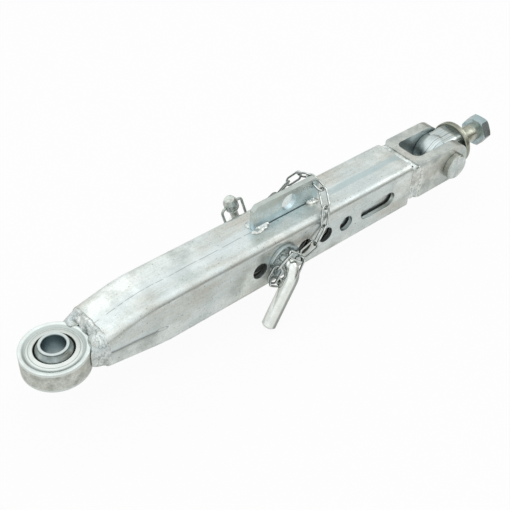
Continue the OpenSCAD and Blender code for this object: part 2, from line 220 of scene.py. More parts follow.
# %% [markdown]
# ## Bright zinc plate
# Electroplated zinc with a clear, faintly blue passivation lies on cold-drawn or hot-rolled steel.
# It is a metal, soft and cloudy rather than mirror bright: the clouds come from the pickled steel
# below, long drawing lines follow the tube, and small pits and rub marks break the sheen. A bevel
# node softens the sharp edges where a real part is worn, so that they catch the light. One function
# builds it, and each part's own marks are laid over it.

# %% Zinc plate
PIT_COLOUR = "#6c6a63"
GRIME = "#b4b7b4"
LINE_SHADE = "#b9bab6"
GROOVE_MM = 0.8
# Zinc's crystals are far finer than the grain here. It is drawn as coarse as it needs to show.


def zinc_plate(name, light, mid, tint, warm="#d8d3c8", roughness=0.36, cloud_mm=26, grain_mm=1.4,
               grain_depth_mm=0.02, drawn=None, rub=0.35, wear_mm=0.5, pits=0.5, marks=None):
    """Zinc-plated steel. drawn is a stretch along the drawing lines, or None where there are none.
    marks takes colour and height, and returns them with a groove and a gloss factor, or None."""
    material = bpy.data.materials.new(name)
    material.use_nodes = True
    tree = material.node_tree
    shader = tree.nodes["Principled BSDF"]
    point = add(tree, "TexCoord", out="Object")
    clouds = mottle(tree, point, cloud_mm, detail=4, roughness=0.6)
    patches = mottle(tree, point, cloud_mm * 2.3, detail=2, stretch=(0.5, 1, 1))
    rubs = mottle(tree, point, cloud_mm * 1.4, detail=5, roughness=0.7, stretch=(0.35, 1, 1))
    grain = mottle(tree, point, grain_mm, detail=4, roughness=0.65)
    colour = add(tree, "ValToRGB", [(0.34, mid), (0.6, light)], clouds)
    tinted = add(tree, "ValToRGB", [(0.45, 0.0), (0.66, 0.8)], patches)
    rubbed = add(tree, "ValToRGB", [(0.5, 0.0), (0.68, 0.6)], rubs)
    colour = lay(tree, rubbed, lay(tree, tinted, colour, tint), warm)
    soiled = add(tree, "ValToRGB", [(0.3, GRIME), (0.58, "#ffffff")], grain)
    colour = add(tree, "Mix", "MULTIPLY", rub, colour, soiled)
    specks = mottle(tree, point, grain_mm * 1.7, detail=2, roughness=0.7)
    pitted = overlap(tree, add(tree, "ValToRGB", [(0.67, 0.0), (0.71, 1.0)], specks), pits)
    colour = lay(tree, pitted, colour, PIT_COLOUR)
    height = grain
    if drawn is not None:
        lines = mottle(tree, point, grain_mm * 1.5, stretch=drawn)
        height = add(tree, "Math", "ADD", grain, overlap(tree, lines, 0.35))
        shade = add(tree, "ValToRGB", [(0.35, LINE_SHADE), (0.6, "#ffffff")], lines)
        colour = add(tree, "Mix", "MULTIPLY", 0.14, colour, shade)
    groove = gloss = None
    if marks is not None:
        colour, height, groove, gloss = marks(tree, point, colour, height)
    tree.links.new(colour, shader.inputs["Base Color"])
    shader.inputs["Metallic"].default_value = 1.0
    sheen = add(tree, "ValToRGB", [(0.3, roughness + 0.12), (0.7, roughness - 0.08)], clouds)
    tree.links.new(sheen if gloss is None else overlap(tree, sheen, gloss), shader.inputs["Roughness"])
    worn_edge = add(tree, "Bevel", {"samples": 4}, Radius=wear_mm * MM)
    bump = add(tree, "Bump", None, Height=height, Strength=1.0, Distance=grain_depth_mm * MM,
               Normal=worn_edge)
    if groove is not None:
        bump = add(tree, "Bump", None, Height=groove, Strength=1.0, Distance=GROOVE_MM * MM,
                   Normal=bump)
    tree.links.new(bump, shader.inputs["Normal"])
    return material


def give(material, *names):
    """Gives a finish to nodes of the frame."""
    for name in names:
        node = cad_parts[name]
        node.data.materials.clear()
        node.data.materials.append(material)
    print(material.name, "on", len(names), "nodes")


# %% [markdown]
# ## The drawn tubes
# A welded square tube shows its seam as a thin dark line along the top, with a paler band of clean
# zinc beside it. The end by the ball is pressed flat in a press, which leaves a crease in each side
# wall that ends in a small lens. The crease is a fraction of a millimetre deep, so it is drawn as a
# bump with painted shade along it, round the lens and below it, and a painted highlight above it,
# rather than cut into the mesh. A line of painted shade marks the gap under the plate.

# %% Tube finish
SEAM_MM, PLATE_EDGE_MM = -3.4, -3.3
TOP_FACE_MM = (12, 18)
PLATE_START_MM, PLATE_END_MM = (236, 240), (325, 345)
GAP_START_MM, GAP_END_MM = (252, 255), (311, 314)
WALL_MM = (28.6, 29.4)
CREASE_START_MM, CREASE_HEIGHT_MM, CREASE_SLOPE = 42, 2.2, 0.119
CREASE_END_MM = (92, 96)
LENS_CENTRE_MM, LENS_RISE_MM, LENS_HALF_LENGTH, LENS_HALF_WIDTH = 99.5, 0.4, 6.5, 1.9


def seam_and_bands(tree, point, y, colour, masks):
    """The seam with its pale band by the ball, a blue band by the clevis, and painted shade in the gap under
    the plate.
    """
    before_plate, after_plate, gap_run, top, wander = masks
    drift = add(tree, "MapRange", "LINEAR", wander, 0.3, 0.7, -0.6 * MM, 0.6 * MM)
    across = add(tree, "Math", "ADD", y, drift)
    broken = add(tree, "ValToRGB", [(0.4, 0.0), (0.48, 1.0)],
                 mottle(tree, point, 3.5, detail=4, stretch=(0.5, 0.1, 0.1)))
    pale_band = overlap(tree, near(tree, across, -4.0, 3.0, 9.0), before_plate, top, 0.4)
    colour = lay(tree, pale_band, colour, "#e2ebee")
    blue_band = overlap(tree, near(tree, across, -4.5, 3.2, 2.5), after_plate, top, 0.6)
    colour = lay(tree, blue_band, colour, "#b9cbd0")
    seam = overlap(tree, near(tree, across, SEAM_MM, 0.12, 0.3), before_plate, broken, top, 0.75)
    colour = lay(tree, seam, colour, "#565b5d")
    # Painted shade: a dark line along the gap under the plate.
    gap = overlap(tree, near(tree, y, PLATE_EDGE_MM, 0.3, 0.4), gap_run, top, 0.92)
    return lay(tree, gap, colour, "#20262a")


def tube_marks(tree, point, colour, height):
    """The seam on top, and the crease pressed into each side wall with the lens at its end, drawn as a bump
    with painted shade and highlight.
    """
    x, y, z = add(tree, "SeparateXYZ", None, point, out="all")
    wander = mottle(tree, point, 40, detail=1)
    before_plate = between(tree, x, *PLATE_START_MM, 1.0, 0.0)
    after_plate = between(tree, x, *PLATE_END_MM)
    gap_run = overlap(tree, between(tree, x, *GAP_START_MM), between(tree, x, *GAP_END_MM, 1.0, 0.0))
    masks = before_plate, after_plate, gap_run, between(tree, z, *TOP_FACE_MM), wander
    colour = seam_and_bands(tree, point, y, colour, masks)
    wall = between(tree, add(tree, "Math", "ABSOLUTE", y), *WALL_MM)
    fall = overlap(tree, add(tree, "Math", "SUBTRACT", x, CREASE_START_MM * MM), CREASE_SLOPE)
    offset = add(tree, "Math", "ADD", add(tree, "Math", "SUBTRACT", z, CREASE_HEIGHT_MM * MM), fall)
    wave = overlap(tree, add(tree, "Math", "SUBTRACT", wander, 0.5), 4 * MM)
    offset = add(tree, "Math", "ADD", offset, wave)
    run = between(tree, x, *CREASE_END_MM, 1.0, 0.0)
    crease = overlap(tree, near(tree, offset, 0, 0.15, 0.7), run, wall)
    from_lens = add(tree, "Math", "SUBTRACT", x, LENS_CENTRE_MM * MM)
    along = add(tree, "Math", "DIVIDE", from_lens, LENS_HALF_LENGTH)
    rise = add(tree, "Math", "SUBTRACT", offset, LENS_RISE_MM * MM)
    rise = add(tree, "Math", "DIVIDE", rise, LENS_HALF_WIDTH)
    rim = overlap(tree, near(tree, distance(tree, along, rise), 1, 0.06, 0.2), wall)
    # Painted light: a highlight above the crease and shade below it, and painted shade along the crease and
    # round the lens.
    bright_lip = overlap(tree, near(tree, offset, 2.4, 0.8, 2.4), run, wall, 0.5)
    colour = lay(tree, bright_lip, colour, "#dbe4e6")
    shaded_lip = overlap(tree, near(tree, offset, -2.4, 0.6, 2.6), run, wall, 0.35)
    colour = lay(tree, shaded_lip, colour, "#a5a49c")
    line = add(tree, "Math", "MAXIMUM", crease, overlap(tree, rim, 0.6))
    colour = lay(tree, overlap(tree, line, 0.75), colour, "#57666c")
    valley = overlap(tree, near(tree, offset, 0, 0.3, 1.8), run, wall)
    groove = opposite(tree, add(tree, "Math", "MAXIMUM", valley, overlap(tree, rim, 0.5)))
    return colour, height, groove, None


tube_zinc = zinc_plate("zinc_plated_drawn_tube", "#f5f8f6", "#c6cbc7", "#e0e8e9", warm="#cbc3b6", pits=0.7,
                       drawn=(0.04, 1, 1), wear_mm=0.8, marks=tube_marks)
give(tube_zinc, "outer_tube", "inner_tube")


# %% [markdown]
# ## The ball and its ring
# The ring is a forging, rough and greyish outside, with both faces turned smooth on a lathe: fine
# rings run round a bright outer land and a shallow dish, and it is darker and brown down by the
# ball. The ball is ground, pale on its flat faces and darker and brown at its foot, and its bore is
# painted with bluish shade that grows darker towards the top. Both finishes are worked out from the
# distance to the bore's axis, as the lathe did.

# %% Ring and ball finishes
TURNED_FACE_MM = (8.6, 9.2)
# Real turning marks are about 0.2 mm apart. They are drawn coarser, so that they show.
LATHE_PITCH_MM = 1.2083
BALL_FLAT_MM = (16.9, 17.4)
BORE_MM = (11.3, 11.7)


def ring_marks(tree, point, colour, height):
    """Forged all round, but turned smooth on both faces, and darker and brown down by the ball."""
    x, y, z = add(tree, "SeparateXYZ", None, point, out="all")
    radius = distance(tree, x, y)
    face = between(tree, add(tree, "Math", "ABSOLUTE", z), *TURNED_FACE_MM)
    smooth_face = overlap(tree, between(tree, radius, 19.4, 20), face)
    lines = add(tree, "Math", "SINE", overlap(tree, radius, waves_per_metre(LATHE_PITCH_MM)))
    land = overlap(tree, near(tree, radius, 31.6, 1.7, 0.4), face)
    patch = mottle(tree, point, 9)
    colour = lay(tree, overlap(tree, smooth_face, 0.85), colour, "#d9ddda")
    clean = add(tree, "ValToRGB", [(0.4, 0.4), (0.6, 0.9)], patch)
    colour = lay(tree, overlap(tree, land, clean), colour, "#e4ebea")
    step = overlap(tree, near(tree, radius, 24.1, 0.15, 0.4), face, 0.6)
    colour = lay(tree, step, colour, "#8f9a99")
    dish = overlap(tree, near(tree, radius, 27.8, 1.0, 1.2), face, 0.55)
    colour = lay(tree, dish, colour, "#98a3a2")
    # Darker and brown in blotches down by the ball.
    greasy = add(tree, "ValToRGB", [(0.3, 0.6), (0.6, 1.0)], patch)
    by_the_ball = between(tree, radius, 19.2, 19.7, 1.0, 0.0)
    colour = lay(tree, overlap(tree, by_the_ball, greasy), colour, "#4d463c")
    rough = opposite(tree, overlap(tree, smooth_face, 0.93))
    turning = overlap(tree, lines, smooth_face, 0.02)
    height = add(tree, "Math", "ADD", overlap(tree, height, rough), turning)
    gloss = opposite(tree, overlap(tree, smooth_face, 0.35))
    return colour, height, None, gloss


def ball_marks(tree, point, colour, height):
    """Ground pale on the two flat faces, with painted shade down in the bore and a darker brown foot."""
    x, y, z = add(tree, "SeparateXYZ", None, point, out="all")
    radius = distance(tree, x, y)
    flat = between(tree, add(tree, "Math", "ABSOLUTE", z), *BALL_FLAT_MM)
    face = overlap(tree, flat, between(tree, radius, 11.6, 12.0))
    bore = between(tree, radius, *BORE_MM, 1.0, 0.0)
    depth = between(tree, z, -12, 14)
    colour = lay(tree, overlap(tree, face, 0.9), colour, "#cfd6d5")
    # The bore's wall is painted shade, darker towards the top.
    shade = add(tree, "ValToRGB", [(0.0, "#a9b5b7"), (0.45, "#84959a"), (1.0, "#66777c")], depth)
    colour = add(tree, "Mix", "MIX", bore, colour, shade)
    # The ball is darker and brown at its foot, by the ring's lip.
    foot = overlap(tree, near(tree, radius, 19.4, 0.8, 0.5), between(tree, z, 6, 8))
    return lay(tree, overlap(tree, foot, 0.8), colour, "#575046"), height, None, None


forged_zinc = zinc_plate("zinc_plated_forging", "#dfe0da", "#b6b8b1", "#cdcfc8", warm="#c9c2b5",
                         roughness=0.42, cloud_mm=10, grain_mm=1.8, grain_depth_mm=0.05, rub=0.5,
                         marks=ring_marks)
ball_zinc = zinc_plate("blued_ball_steel", "#b9c2c2", "#8c9695", "#a3aeae", roughness=0.32, cloud_mm=12,
                       grain_depth_mm=0.008, marks=ball_marks)
give(forged_zinc, "ball_ring")
give(ball_zinc, "swivel_ball")


# %% [markdown]
# ## The chain plate
# The plate is cut from flat bar. It looks bluer and brighter down by the tube, and duller and
# warmer towards its top edge. The cause isn't known, so its marks simply follow the height.

# %% Plate finish
PLATE_LOW_MM, PLATE_HIGH_MM = (40, 50), (52, 62)


def plate_marks(tree, point, colour, height):
    """Bluer and brighter down by the tube, duller and warmer towards the top edge."""
    x, y, z = add(tree, "SeparateXYZ", None, point, out="all")
    drift = add(tree, "Math", "ADD", z, overlap(tree, mottle(tree, point, 16), 12 * MM))
    colour = lay(tree, overlap(tree, between(tree, drift, *PLATE_LOW_MM, 1.0, 0.0), 0.6), colour, "#cde3ec")
    colour = lay(tree, overlap(tree, between(tree, drift, *PLATE_HIGH_MM), 0.6), colour, "#bdbfb7")
    return colour, height, None, None


plate_zinc = zinc_plate("zinc_plated_flat_bar", "#e3edef", "#bccbce", "#cbdfe5", roughness=0.3, cloud_mm=14,
                        wear_mm=1.2, marks=plate_marks)
give(plate_zinc, "chain_plate")


# %% [markdown]
# ## The eye stud and its nut
# Eye, block, flange and stud are one forging. Polishing rings run round the eye and the block keeps
# the line where the forging dies met. The stud's thread is too fine for the mesh, so a sine bump
# draws it, at the 2.5 mm pitch assumed for a stud this thick. Two flats of the nut are tinted brown:
# that is painted in place of the dark surroundings that they mirror.

# %% Stud and nut finishes
EYE_END_MM, NECK_START_MM, NECK_END_MM = (546, 549), (548, 550), (556.5, 557.5)
FLANGE_MM, THREAD_START_MM = 559, (566, 568)
THREAD_PITCH_MM = 2.5
# Polishing rings are finer than this. They are drawn coarser, so that they show.
RINGS_MM = 1.6


def stud_marks(tree, point, colour, height):
    """The eye has fine rings and the line where the forging dies met. The stud has its thread."""
    x, y, z = add(tree, "SeparateXYZ", None, point, out="all")
    eye = between(tree, x, *EYE_END_MM, 1.0, 0.0)
    neck = overlap(tree, between(tree, x, *NECK_START_MM), between(tree, x, *NECK_END_MM, 1.0, 0.0))
    wander = mottle(tree, point, 25, detail=1)
    drift = add(tree, "Math", "ADD", y, overlap(tree, add(tree, "Math", "SUBTRACT", wander, 0.5), 3 * MM))
    rings = mottle(tree, point, RINGS_MM, stretch=(0.06, 1, 0.06))
    ringed = add(tree, "ValToRGB", [(0.35, "#bcc7c9"), (0.65, "#dde3e2")], rings)
    colour = add(tree, "Mix", "MIX", eye, colour, ringed)
    # The neck between eye and flange is painted darker, as shade.
    colour = lay(tree, overlap(tree, neck, 0.75), colour, "#8b969a")
    split = add(tree, "Math", "MAXIMUM", near(tree, drift, -2.5, 0.15, 0.3),
                near(tree, drift, -8.5, 0.1, 0.25))
    before_flange = between(tree, x, 556, 557, 1.0, 0.0)
    colour = lay(tree, overlap(tree, split, before_flange, 0.8), colour, "#4a5052")
    # The flange is painted darker, in place of the darker surroundings it mirrors.
    flange = near(tree, x, FLANGE_MM, 2.2, 0.3)
    colour = lay(tree, overlap(tree, flange, 0.6), colour, "#8a8b7d")
    thread = between(tree, x, *THREAD_START_MM)
    wave = add(tree, "Math", "SINE", overlap(tree, x, waves_per_metre(THREAD_PITCH_MM)))
    height = add(tree, "Math", "ADD", height, overlap(tree, wave, thread, 2.0))
    return colour, height, None, None


def nut_marks(tree, point, colour, height):
    """Two flats of the nut are tinted brown, in place of the dark surroundings they mirror."""
    brown_flats = facing(tree, (0, -0.98, -0.2), 0.72, 0.8)
    return lay(tree, overlap(tree, brown_flats, 0.75), colour, "#7b6a66"), height, None, None


stud_zinc = zinc_plate("zinc_plated_stud", "#bfc1b4", "#999b8e", "#adafa3", roughness=0.3, cloud_mm=9,
                       grain_mm=1.0, grain_depth_mm=0.008, marks=stud_marks)
nut_zinc = zinc_plate("zinc_plated_nut", "#d3dde0", "#a5b4b8", "#b3c8cf", roughness=0.24, cloud_mm=16,
                      rub=0.2, pits=0.3, marks=nut_marks)
give(stud_zinc, "eye_stud")
give(nut_zinc, "stud_nut")


# %% [markdown]
# ## The clevis and its pin
# The fork is cut from thick steel and crusted with pale spatter beside its weld, with painted shade
# in the hollows of the spatter. Its inside looks dark, which is painted, because the studio's soft
# light reaches in further than it should. The pin's head is a turned disc with a pale face, and its
# rim is painted darker and warmer, as shade.

# %% Clevis and pin finishes
FORK_GAP_MM, FORK_START_MM, FORK_TOP_MM = (17.1, 17.6), (472.2, 472.8), (24.5, 25.6)
# A normal has no size in millimetres, so these two are in thousandths.
RIM_FACING, RIM_SOFT = 600, 200


def clevis_marks(tree, point, colour, height):
    """Painted darker inside the fork, and crusted with pale spatter by the weld, with painted shade in its
    hollows.
    """
    x, y, z = add(tree, "SeparateXYZ", None, point, out="all")
    side = add(tree, "Math", "ABSOLUTE", y)
    inside = overlap(tree, between(tree, side, *FORK_GAP_MM, 1.0, 0.0),
                     between(tree, x, *FORK_START_MM), between(tree, z, *FORK_TOP_MM, 1.0, 0.0))
    colour = lay(tree, overlap(tree, inside, 0.6), colour, "#a3b0b3")
    crust = overlap(tree, between(tree, x, 470, 475, 1.0, 0.0), between(tree, side, 28, 29.5),
                    between(tree, z, 18, 23, 1.0, 0.0))
    splash = mottle(tree, point, 3.2, detail=5, roughness=0.7)
    beads = add(tree, "ValToRGB", [(0.45, 0.0), (0.56, 0.9)], splash)
    # The hollows between the spatter's beads are painted shade.
    hollows = add(tree, "ValToRGB", [(0.34, 0.7), (0.42, 0.0)], splash)
    colour = lay(tree, overlap(tree, crust, beads), colour, "#f4f6f2")
    colour = lay(tree, overlap(tree, crust, hollows), colour, "#7d7f78")
    height = add(tree, "Math", "ADD", height, overlap(tree, splash, crust, 14.0))
    return colour, height, None, None


def head_marks(tree, point, colour, height):
    """The pin's head has a pale face. Its rim, which faces away from the pin's Y, is painted warmer and
    darker, as shade.
    """
    along_pin = add(tree, "SeparateXYZ", None, add(tree, "TexCoord", out="Normal"), out="Y")
    # The rim is painted darker and warmer, as shade.
    rim = near(tree, along_pin, 0, RIM_FACING, RIM_SOFT)
    return lay(tree, overlap(tree, rim, 0.6), colour, "#9f9d8f"), height, None, None


clevis_zinc = zinc_plate("zinc_plated_cut_steel", "#dcdeda", "#b0b4b1", "#c2cbcb", roughness=0.36,
                         cloud_mm=14, wear_mm=0.9, marks=clevis_marks)
head_zinc = zinc_plate("zinc_plated_clevis_pin", "#e6ebea", "#b4bab9", "#cad3d3", warm="#d3d1c7",
                       roughness=0.22, cloud_mm=7, marks=head_marks)
give(clevis_zinc, "clevis")
give(head_zinc, "clevis_pin", "clevis_washer", "roll_pin")


# %% [markdown]
# ## The locking pin, its collar and the linch pin
# The pin is smooth and is the brightest piece. The dull streak along the outer side of its handle is
# painted, in place of dark surroundings that it mirrors there. The collar is darker and bluer, and
# the linch pin is rougher.

# %% Locking pin and linch pin finishes
HANDLE_OUTER_SIDE = (0.5, -0.8, -0.3)


def pin_marks(tree, point, colour, height):
    """A dull streak along the handle's outer side, in place of what it mirrors there."""
    edge = opposite(tree, facing(tree, HANDLE_OUTER_SIDE, 0.93, 1.0))
    streak = overlap(tree, facing(tree, HANDLE_OUTER_SIDE, 0.5, 0.74), edge)
    return lay(tree, overlap(tree, streak, 0.72), colour, "#757b79"), height, None, None


pin_zinc = zinc_plate("zinc_plated_turned_pin", "#fbfcf9", "#eceeeb", "#f3f5f2", warm="#f0eee8",
                      roughness=0.2, cloud_mm=9, grain_mm=0.8, grain_depth_mm=0.002, rub=0.12, pits=0.1,
                      marks=pin_marks)
collar_zinc = zinc_plate("zinc_plated_collar", "#c8d3d5", "#93a1a4", "#b2bfc2", roughness=0.2, cloud_mm=12,
                         grain_depth_mm=0.004, rub=0.25)
linch_zinc = zinc_plate("zinc_plated_linch_pin", "#d3d7d2", "#9da39f", "#b7bfbe", roughness=0.24, cloud_mm=5,
                        grain_mm=2.0, grain_depth_mm=0.05)
give(pin_zinc, "locking_pin")
give(collar_zinc, "pin_collar")
give(linch_zinc, "linch_pin", "linch_ring")


# %% [markdown]
# ## The chain
# Chain links are bent from wire and welded. They look bright on the sides turned away from the tube
# and in to it, and dark between, where they mirror darker surroundings. That dark is painted as a
# dull finish. The direction away from the tube's axis is the point's own Y and Z.

# %% Chain finish
def chain_marks(tree, point, colour, height):
    """Links are bright on the sides turned out from the tube and in to it, and painted dark between, in place
    of darker surroundings they mirror.
    """
    normal = add(tree, "TexCoord", out="Normal")
    outward = add(tree, "VectorMath", "NORMALIZE", add(tree, "VectorMath", "MULTIPLY", point, (0, 1, 1)))
    turned_out = add(tree, "VectorMath", "DOT_PRODUCT", normal, outward, out="Value")
    # Painted reflection: the sides between are painted dark, in place of darker surroundings.
    dull = add(tree, "MapRange", "SMOOTHSTEP", add(tree, "Math", "ABSOLUTE", turned_out), 0.3, 0.8, 0.85, 0.0)
    return lay(tree, dull, colour, "#535a58"), height, None, None


chain_zinc = zinc_plate("zinc_plated_chain_wire", "#f2f5f3", "#b4bab8", "#d3dada", warm="#d4d1c8",
                        roughness=0.13, cloud_mm=4, grain_mm=0.8, grain_depth_mm=0.008, wear_mm=0.1,
                        marks=chain_marks)
give(chain_zinc, *[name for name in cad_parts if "_link" in name])


# %% [markdown]
# ## Turned shapes
# The ball has a short sleeve above and below, and the ring has a shallow dish inside a flat outer
# land. A solid could be cut from cylinders, but a lathe part is plainest as one closed profile that
# is spun round the upright axis.

# %% Turned ball and ring
SHARP_ANGLE = math.radians(22)
MERGE_MM = 0.001


def stand_in(piece_name, mesh, material, node, body):
    """Puts a finished mesh in the scene in place of a node of the frame."""
    mesh.name = piece_name
    mesh.materials.clear()
    mesh.materials.append(material)
    piece = bpy.data.objects.new(piece_name, mesh)
    bpy.context.scene.collection.objects.link(piece)
    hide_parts(node)
    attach(piece, body)
    print(piece_name, "has", len(mesh.vertices), "points")


def turned(half_profile_mm, steps=128):
    """Spins a closed profile round Z. The upper half is given, and the lower half mirrors it."""
    profile = half_profile_mm + [(r, -z) for r, z in reversed(half_profile_mm) if z > 0]
    shape = bmesh.new()
    corners = [shape.verts.new((r * MM, 0, z * MM)) for r, z in profile]
    outline = [shape.edges.new(ends) for ends in zip(corners, corners[1:] + corners[:1])]
    bmesh.ops.spin(shape, geom=corners + outline, axis=(0, 0, 1), cent=(0, 0, 0), steps=steps,
                   angle=2 * math.pi, use_merge=True)
    bmesh.ops.remove_doubles(shape, verts=shape.verts, dist=MERGE_MM * MM)
    bmesh.ops.recalc_face_normals(shape, faces=shape.faces)
    for face in shape.faces:
        face.smooth = True
    for edge in shape.edges:
        edge.smooth = edge.calc_face_angle(0) < SHARP_ANGLE
    mesh = bpy.data.meshes.new("turned")
    shape.to_mesh(mesh)
    shape.free()
    return mesh


def arc(radius, from_z, to_z, steps):
    """Points on a ball's outline between two heights."""
    heights = [from_z + (to_z - from_z) * i / steps for i in range(steps + 1)]
    return [(math.sqrt(radius * radius - z * z), z) for z in heights]


BORE_AND_SLEEVE = [(11.2, 0), (11.2, 16.3), (11.5, 16.9), (12.2, 17.5), (14.1, 17.5), (14.6, 17.2),
                   (14.8, 16.8), (14.8, 15.5), (15.1, 14.9)]
BALL_PROFILE = BORE_AND_SLEEVE + arc(21, 14.4, 0, 14)
OUTER_LAND = [(33.5, 0), (33.5, 11.1), (33.3, 11.6), (32.8, 11.9), (30.2, 11.9), (29.9, 11.8)]
DISH = [(28.0, 10.6), (27.2, 10.3), (26.4, 10.3), (26.1, 10.5), (24.2, 10.8), (24.0, 10.7), (23.8, 10.9)]
INNER_LIP = [(20.6, 11.7), (20.1, 11.7), (19.6, 11.3), (19.4, 10.4)]
RING_PROFILE = OUTER_LAND + DISH + INNER_LIP + arc(21.3, 9.0, 0, 8)
stand_in("swivel_ball_turned", turned(BALL_PROFILE), ball_zinc, "swivel_ball", "ball")
stand_in("ball_ring_turned", turned(RING_PROFILE), forged_zinc, "ball_ring", "outer_arm")


# %% [markdown]
# ## Weld beads
# A weld is a row of frozen puddles: smooth bright lumps that run into each other, with a toe that
# melts into both pieces and dark lines of burnt flux between them. Each bead here is the plain weld
# from the frame with extra lumps beside it. A voxel remesh melts them into one skin, smoothing
# rounds it, and noise along the normals roughens it a little.

# %% Weld finish and weld skin
def weld_marks(tree, point, colour, height):
    """Dark lines of burnt flux wander between the puddles."""
    veins = mottle(tree, point, 17, roughness=0.5)
    from_vein = add(tree, "Math", "ABSOLUTE", add(tree, "Math", "SUBTRACT", veins, 0.5))
    vein = add(tree, "ValToRGB", [(0.0, 1.0), (0.02, 0.0)], from_vein)
    return lay(tree, overlap(tree, vein, 0.5), colour, "#6f7775"), height, None, None


weld_zinc = zinc_plate("zinc_plated_weld_bead", "#f8faf8", "#b4b9b6", "#cfdade", roughness=0.2, cloud_mm=13,
                       grain_mm=1.2, grain_depth_mm=0.03, rub=0.5, wear_mm=0.2, marks=weld_marks)
give(weld_zinc, "neck_weld", "plate_weld_left", "plate_weld_right", "clevis_weld")


def add_lump(mesh, place_mm, radius_mm, squash=(1, 1, 1)):
    """One puddle, as a squashed sphere."""
    made = bmesh.ops.create_icosphere(mesh, subdivisions=3, radius=radius_mm * MM)
    bmesh.ops.scale(mesh, verts=made["verts"], vec=squash)
    bmesh.ops.translate(mesh, verts=made["verts"], vec=[c * MM for c in place_mm])


def melted(node, lumps, voxel_mm, smooth):
    """Remeshes a weld node and its lumps into one smooth skin."""
    source = bmesh.new()
    source.from_mesh(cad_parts[node].data)
    for lump in lumps:
        add_lump(source, *lump)
    start = bpy.data.meshes.new(node + "_start")
    source.to_mesh(start)
    source.free()
    helper = bpy.data.objects.new(node + "_start", start)
    bpy.context.scene.collection.objects.link(helper)
    remesh = helper.modifiers.new("skin", "REMESH")
    remesh.mode = "VOXEL"
    remesh.voxel_size = voxel_mm * MM
    soften = helper.modifiers.new("soften", "SMOOTH")
    soften.factor = 0.6
    soften.iterations = smooth
    skin = bpy.data.meshes.new_from_object(helper.evaluated_get(bpy.context.evaluated_depsgraph_get()))
    bpy.data.objects.remove(helper)
    return skin


def weld_skin(name, node, body, lumps, voxel_mm, smooth, rough_mm, rough_size_mm):
    """Melts a weld node and its lumps into one rough skin that takes the node's place."""
    skin = melted(node, lumps, voxel_mm, smooth)
    shape = bmesh.new()
    shape.from_mesh(skin)
    shape.normal_update()
    for vertex in shape.verts:
        bumps = noise.fractal(vertex.co / (rough_size_mm * MM), 0.9, 2.0, 5)
        vertex.co += vertex.normal * bumps * rough_mm * MM
    bmesh.ops.recalc_face_normals(shape, faces=shape.faces)
    for face in shape.faces:
        face.smooth = True
    shape.to_mesh(skin)
    shape.free()
    stand_in(name, skin, weld_zinc, node, body)


# %% [markdown]
# ## The weld round the neck
# The heaviest bead closes the flattened tube on the ring's shank. Small lumps follow the tube's
# mouth, which is a rectangle with round corners, and a few big ones lie on the shank above and below.

# %% Neck weld
MOUTH_X, MOUTH_HALF_W, MOUTH_HALF_H, MOUTH_CORNER = 39.8, 28.3, 18.0, 7


def rim_points(half_w, half_h, corner, step):
    """Points round a rectangle with round corners, about step apart."""
    points = []
    for side, (cy, cz) in enumerate(((1, 1), (-1, 1), (-1, -1), (1, -1))):
        centre = (cy * (half_w - corner), cz * (half_h - corner))
        for i in range(4):
            angle = math.radians(90 * side + 30 * i)
            points.append((centre[0] + corner * math.cos(angle), centre[1] + corner * math.sin(angle)))
        span = 2 * ((half_w if side % 2 == 0 else half_h) - corner)
        turn = math.radians(90 * side + 180)
        count = int(span / step)
        for i in range(1, count):
            last_y, last_z = points[-1]
            points.append((last_y + math.cos(turn) * span / count, last_z + math.sin(turn) * span / count))
    return points


NECK_LUMPS = [((MOUTH_X, y, z), 2.6, (1.3, 1.0, 1.0))
              for y, z in rim_points(MOUTH_HALF_W, MOUTH_HALF_H, MOUTH_CORNER, 1.6)]
NECK_LUMPS += [((32, 18, 11.5), 8, (1, 1, 0.6)), ((36, 4, 14), 7, (0.8, 1.5, 0.5)),
               ((34, -18, 12.5), 9, (0.8, 1, 0.7)), ((33, 13, -11.5), 8, (1, 1.3, 0.6)),
               ((33, -12, -11.5), 8, (1, 1.5, 0.6))]
NECK_LUMPS += [((28.2, side * 21.5, z), 3.4, (1, 1, 1.3)) for side in (-1, 1) for z in range(-8, 10, 4)]
weld_skin("neck_weld_beads", "neck_weld", "outer_arm", NECK_LUMPS, voxel_mm=0.8, smooth=9,
          rough_mm=1.0, rough_size_mm=12)


# %% [markdown]
# ## The welds at the clevis and at the chain plate
# The clevis is welded all round, with a low bead on top and rougher ones down both sides. The
# plate has only a short tack at each end.

# %% Clevis and plate welds
CLEVIS_LUMPS = [((462.8, -22 + i * 2.75, 23.2), 3.0, (1.25, 1.2, 0.6)) for i in range(17)]
for side in (-1, 1):
    CLEVIS_LUMPS += [((462, side * 25.2, -18 + i * 3.4), 5.5, (1.0, 0.62, 0.9)) for i in range(12)]
for side in (-1, 1):
    CLEVIS_LUMPS += [((468, side * 26.3, -18 + i * 3.4), 4.5, (1.1, 0.55, 0.9)) for i in range(12)]
weld_skin("clevis_weld_beads", "clevis_weld", "inner_arm", CLEVIS_LUMPS, voxel_mm=0.6, smooth=10,
          rough_mm=0.4, rough_size_mm=4)
LEFT_LUMPS = [((239.5, side * 6, 30.6), 5.5, (1.25, 1, 0.42)) for side in (-1, 1)]
LEFT_LUMPS += [((246.5, side * 5.5, 30.8), 4.5, (1.3, 1, 0.5)) for side in (-1, 1)]
LEFT_LUMPS += [((235, -5.5, 30.3), 3, (1.4, 1, 0.3))]
RIGHT_LUMPS = [((315.5, side * 5.5, 30.8), 4.2, (1.2, 1.1, 0.7)) for side in (-1, 1)]
RIGHT_LUMPS += [((320, -6.5, 30.6), 3.5, (1.3, 1, 0.5))]
TACK_VOXEL_MM = 0.45
